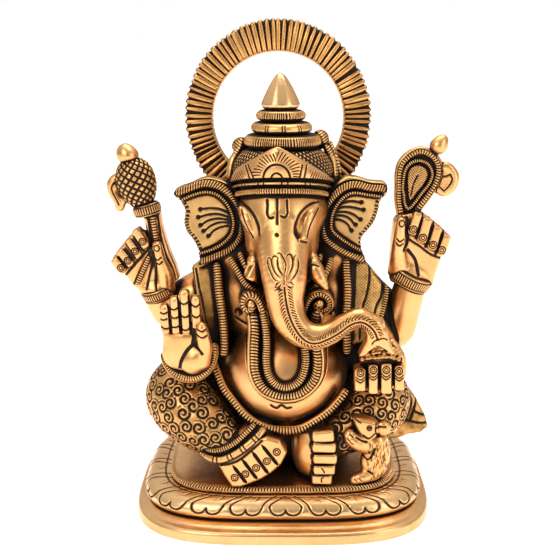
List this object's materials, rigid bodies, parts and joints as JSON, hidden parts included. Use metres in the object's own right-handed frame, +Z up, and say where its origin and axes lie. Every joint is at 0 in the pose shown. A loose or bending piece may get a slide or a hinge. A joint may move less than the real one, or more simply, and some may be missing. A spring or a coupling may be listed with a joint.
{
  "type": "ganesha idol",
  "caption": "Seated four-armed elephant-headed devotional figure with ribbed halo, on an oval lotus base, in cast and engraved brass.",
  "frame": {"origin": "bottom centre of the base", "axes": "+X to the viewer's right as the figure is faced, +Y to the back, +Z up"},
  "size_m": [0.1756, 0.1272, 0.2536],
  "materials": {
    "brass": "polished high points with a thin brown-black patina in the recesses",
    "engraved_brass": "chased and ribbed, black-brown patina left in every cut",
    "fixing_steel": "dull machined"
  },
  "bodies": {
    "root": {"base_plinth": "brass", "lotus_tier": "brass", "seat_plate": "brass", "seat_studs": "fixing_steel", "stud_nuts": "fixing_steel", "torso": "brass", "head": "brass", "leg_l": "engraved_brass", "leg_r": "engraved_brass", "anklet_l": "engraved_brass", "foot_l": "brass", "foot_r": "brass", "waist_belt": "engraved_brass", "garland_outer": "engraved_brass", "garland_inner": "engraved_brass", "garland_curls": "engraved_brass", "chest_studs": "engraved_brass", "sash_strips": "engraved_brass", "cloth_panels": "engraved_brass", "arm_back_l": "brass", "arm_back_r": "brass", "arm_front_l": "brass", "arm_front_r": "brass", "bracelet_l": "engraved_brass", "bracelet_r": "engraved_brass", "cuff_front_l": "engraved_brass", "hand_front_l": "brass", "hand_front_r": "brass", "hand_back_l": "brass", "hand_back_r": "brass", "mace_rod": "engraved_brass", "mace_collar": "engraved_brass", "mace_bud": "engraved_brass", "mace_knob": "brass", "mace_scroll": "brass", "noose_loop": "engraved_brass", "noose_leaf": "engraved_brass", "noose_knob": "brass", "noose_curl": "brass", "sweet_bowl": "engraved_brass", "trunk": "brass", "tusk_l": "brass", "tusk_r": "brass", "ear_l": "brass", "ear_r": "brass", "ear_trims": "engraved_brass", "brow_band": "engraved_brass", "crown_fillet": "engraved_brass", "crown_dome": "brass", "diadem": "brass", "crown_wings": "engraved_brass", "crown_tier_low": "engraved_brass", "crown_tier_mid": "engraved_brass", "crown_tier_top": "engraved_brass", "finial": "brass", "halo_ring": "engraved_brass", "mouse": "brass", "sash_ends": "engraved_brass"}
  },
  "joints": []
}
